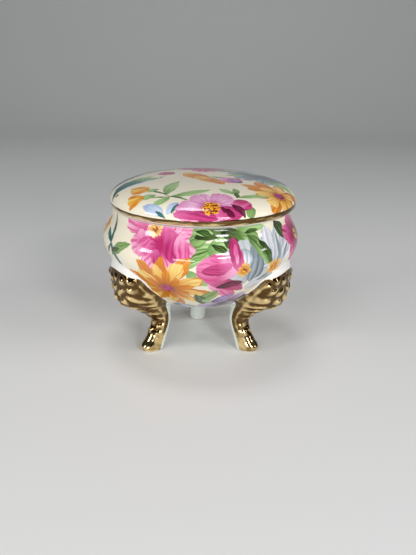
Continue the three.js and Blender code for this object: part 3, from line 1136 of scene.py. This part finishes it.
    # Cosmos by the near edge
    p.flower((2.2, -27.6), 10.8, 6, "cosmos", turn=30, shoulder=0.24, heart=0.0)
    p.petal((-9.0, -28.4), (5.0, -30.0), 4.0, "magenta", bend=-0.1)
    p.petal((3.0, -28.8), (11.6, -27.6), 5.4, "magenta")
    p.shape((11.4, -24.2), 6.0, 5.4, "magenta", turn=30, blunt=0.5)
    p.petal((9.8, -26.8), (13.4, -22.6), 1.6, "pink")
    p.leaf((7.6, -24.6), (12.8, -28.4), 2.4, "maroon", bend=0.1)
    p.leaf((6.4, -27.0), (9.4, -29.2), 2.0, "maroon", bend=-0.1)
    p.flower((2.3, -27.2), 3.0, 9, "stamens", shoulder=0.2, heart=0.8)
    p.petal((5.0, -26.4), (6.6, -28.6), 1.2, "maroon")


# Materials


GLAZE_ROUGHNESS = 0.05


def finish_porcelain(nodes, colour, gold, gold_colour):
    """Glossy glaze, with bright gold where the gilding is, and the soft unevenness of
    a hand-finished surface."""
    place = nodes.object_place()
    shader = nodes.tree.nodes["Principled BSDF"]
    colour = nodes.mix(gold, colour, gold_colour)
    nodes.feed(shader.inputs["Base Color"], colour)
    nodes.feed(shader.inputs["Metallic"], gold)
    smudge = nodes.noise(place, 260.0, 2.0)
    gloss = nodes.scaled(smudge, 0.06, GLAZE_ROUGHNESS)
    nodes.feed(shader.inputs["Roughness"], nodes.scaled(gold, 0.03, gloss))
    shader.inputs["IOR"].default_value = 1.52
    waves = nodes.noise(place, 90.0, 1.0)
    pits = nodes.noise(place, 900.0, 1.0)
    height = nodes.scaled(pits, nodes.times(gold, 0.10), waves)
    inputs = {"Height": height, "Strength": 0.25, "Distance": 0.0004}
    nodes.feed(shader.inputs["Normal"], nodes.add("ShaderNodeBump", inputs))


def new_material(name):
    material = bpy.data.materials.new(name)
    material.use_nodes = True
    return material, Nodes(material.node_tree)


def speckled(nodes, colour):
    """A few faint dark specks under the glaze."""
    place = nodes.object_place()
    specks = nodes.ramp(nodes.noise(place, 520.0, 2.0), 0.735, 0.78)
    return nodes.mix(nodes.times(specks, 0.35), colour, SPECK)


def bowl_material(bloom, blade):
    material, nodes = new_material("bowl_porcelain")
    p = BowlPrint(nodes, speckled(nodes, CREAM), bloom, blade)
    print_bowl(p)
    run = nodes.stored("run")
    place = nodes.object_place()
    wander = nodes.scaled(nodes.noise(place, 220.0, 1.0), 1.6, -0.8)
    edge = nodes.plus(run, wander)
    below = nodes.ramp(edge, *UNDERSIDE_EDGE)
    colour = nodes.mix(below, p.colour, UNDERSIDE)
    beside_leg = nodes.scaled(wander, 0.6, nodes.stored("beside_leg"))
    plain = nodes.ramp(beside_leg, -0.2, 0.2)
    above = nodes.ramp(run, 0.25, 0.05)
    plain = nodes.math("MAXIMUM", plain, above)
    inside = nodes.minus(1.0, nodes.stored("outside"))
    plain = nodes.math("MAXIMUM", plain, inside)
    plain = nodes.minus(plain, below)
    colour = nodes.mix(plain, colour, CLEAR_GLAZE)
    height = nodes.part(place, 2)
    bare = nodes.ramp(height, GILDED_BOTTOM * MM, 0.3 * MM)
    colour = nodes.mix(bare, colour, SOLE)
    ragged = nodes.scaled(nodes.noise(place, 700.0, 1.0), 0.3, -0.15)
    gold = nodes.plus(nodes.stored("gold"), ragged)
    gold = nodes.ramp(gold, -0.04, 0.06)
    # Painted shade on the gilding: darker in the relief's hollows, lighter on its high parts, with
    # random variation
    painted_relief_light = nodes.plus(nodes.stored("relief_for_painted_shade"), nodes.noise(place, 500.0, 1.0))
    gold_colour = nodes.mix(nodes.ramp(painted_relief_light, 0.6, 1.2), GOLD_PAINTED_SHADE, GOLD)
    finish_porcelain(nodes, colour, gold, gold_colour)
    return material


def lid_material(bloom, blade):
    material, nodes = new_material("lid_porcelain")
    p = LidPrint(nodes, speckled(nodes, CREAM), bloom, blade)
    print_lid(p)
    place = nodes.object_place()
    inside = nodes.minus(1.0, nodes.stored("outside"))
    height = nodes.part(place, 2)
    height = nodes.scaled(height, 1 / MM, -SEAT_HEIGHT)
    plain = nodes.ramp(height, BAND_LOW + 0.3, BAND_LOW + 0.2)
    colour = nodes.mix(nodes.math("MAXIMUM", plain, inside), p.colour, CLEAR_GLAZE)
    uneven = nodes.scaled(nodes.part(place, 0), -10.0, -0.7)
    wander = nodes.scaled(nodes.noise(place, 70.0, 3.0), 1.4, uneven)
    above = nodes.ramp(nodes.plus(height, wander), BAND_HIGH + 0.06, BAND_HIGH - 0.06)
    beyond = nodes.ramp(height, BAND_LOW - 0.05, BAND_LOW + 0.05)
    gold = nodes.times(above, beyond)
    gold = nodes.times(gold, nodes.stored("outside"))
    # Painted dark reflection on the gold band: darker towards its top, broken into streaks of
    # noise
    streaks = nodes.vector("MULTIPLY", place, (1, 1, 6))
    band_painted_reflection = nodes.scaled(height, -0.28, nodes.noise(streaks, 200.0, 2.0))
    gold_colour = nodes.mix(nodes.ramp(band_painted_reflection, 0.05, 0.42), GOLD_PAINTED_SHADE, GOLD)
    finish_porcelain(nodes, colour, gold, gold_colour)
    return material


# Camera, light and floor, in metres and radians

CAMERA_PLACE = Vector((0, -215.9, 102.7)) * MM
CAMERA_PITCH = 0.3561
CAMERA_YAW = 0.0127
CAMERA_ROLL = 0.0212
LENS = 43.9
LIGHT_AIM = Vector((0, 0, 0.03))
FLOOR_SIDE = 0.75
FLOOR_FRONT = -0.35
FLOOR_BEND = 0.45
FLOOR_CURVE = 0.4
FLOOR_TOP = 0.9


def make_camera():
    ahead = Vector(
        (
            math.sin(CAMERA_YAW) * math.cos(CAMERA_PITCH),
            math.cos(CAMERA_YAW) * math.cos(CAMERA_PITCH),
            -math.sin(CAMERA_PITCH),
        )
    )
    level = Vector((math.cos(CAMERA_YAW), -math.sin(CAMERA_YAW), 0))
    above = level.cross(ahead)
    right = level * math.cos(CAMERA_ROLL) + above * math.sin(CAMERA_ROLL)
    up = above * math.cos(CAMERA_ROLL) - level * math.sin(CAMERA_ROLL)
    data = bpy.data.cameras.new("camera")
    data.lens = LENS
    data.clip_start = 0.01
    camera = bpy.data.objects.new("camera", data)
    turn = Matrix((right, up, -ahead)).transposed().to_4x4()
    camera.matrix_world = Matrix.Translation(CAMERA_PLACE) @ turn
    bpy.context.scene.collection.objects.link(camera)
    bpy.context.scene.camera = camera


def soft_light(name, place, size, watts, mirrored=True):
    """A softbox; one that isn't mirrored lights the box but shows in no reflection."""
    data = bpy.data.lights.new(name, "AREA")
    data.shape = "RECTANGLE"
    data.size, data.size_y = size
    data.energy = watts
    lamp = bpy.data.objects.new(name, data)
    lamp.location = place
    lamp.rotation_euler = (LIGHT_AIM - Vector(place)).to_track_quat("-Z", "Y").to_euler()
    lamp.visible_glossy = mirrored
    bpy.context.scene.collection.objects.link(lamp)


def make_studio():
    soft_light("key", (-0.26, -0.48, 0.48), (0.30, 0.30), 1.2, mirrored=False)
    soft_light("fill", (0.50, -0.25, 0.34), (0.30, 0.30), 0.95, mirrored=False)
    soft_light("bounce", (0.00, -0.45, 0.07), (0.50, 0.12), 0.4, mirrored=False)
    soft_light("window", (0.27, -0.55, 0.19), (0.16, 0.05), 0.8)
    soft_light("high window", (0.25, -0.52, 0.34), (0.16, 0.05), 0.8)
    soft_light("left box", (-0.50, -0.25, 0.20), (0.14, 0.12), 0.7)
    soft_light("right box", (0.52, -0.12, 0.20), (0.06, 0.05), 0.12)
    soft_light("low box", (-0.16, -0.50, 0.05), (0.22, 0.06), 0.45)
    soft_light("top", (-0.06, 0.06, 0.62), (0.16, 0.16), 0.6)
    world = bpy.data.worlds.new("studio")
    world.use_nodes = True
    background = world.node_tree.nodes["Background"]
    background.inputs["Color"].default_value = (0.72, 0.78, 0.88, 1)
    background.inputs["Strength"].default_value = 0.07
    bpy.context.scene.world = world
    bpy.context.scene.view_settings.view_transform = "Standard"


def make_floor():
    """A pale sheet that lies flat under the box and curves up far behind it."""
    turn = np.linspace(0, math.pi / 2, 24)
    back = FLOOR_BEND + FLOOR_CURVE * np.sin(turn)
    curve = np.column_stack([back, FLOOR_CURVE - FLOOR_CURVE * np.cos(turn)])
    profile = np.concatenate([[(FLOOR_FRONT, 0)], curve, [(back[-1], FLOOR_TOP)]])
    points = [(side, y, z) for y, z in profile for side in (-FLOOR_SIDE, FLOOR_SIDE)]
    faces = [(2 * i, 2 * i + 1, 2 * i + 3, 2 * i + 2) for i in range(len(profile) - 1)]
    floor = new_object("floor", np.array(points) / MM, faces)
    matt, nodes = new_material("pale_floor")
    shader = nodes.tree.nodes["Principled BSDF"]
    shader.inputs["Base Color"].default_value = (0.80, 0.80, 0.79, 1)
    shader.inputs["Roughness"].default_value = 0.6
    dress(floor, matt)


make_camera()
make_studio()
make_floor()
bowl = make_bowl()
lid = make_lid()
bloom = bloom_group()
blade = blade_group()
dress(bowl, bowl_material(bloom, blade))
dress(lid, lid_material(bloom, blade))
for piece, node, slot in ((bowl, "bowl", "bowl_porcelain"), (lid, "lid", "lid_porcelain")):
    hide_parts(node)
    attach(piece, "root")
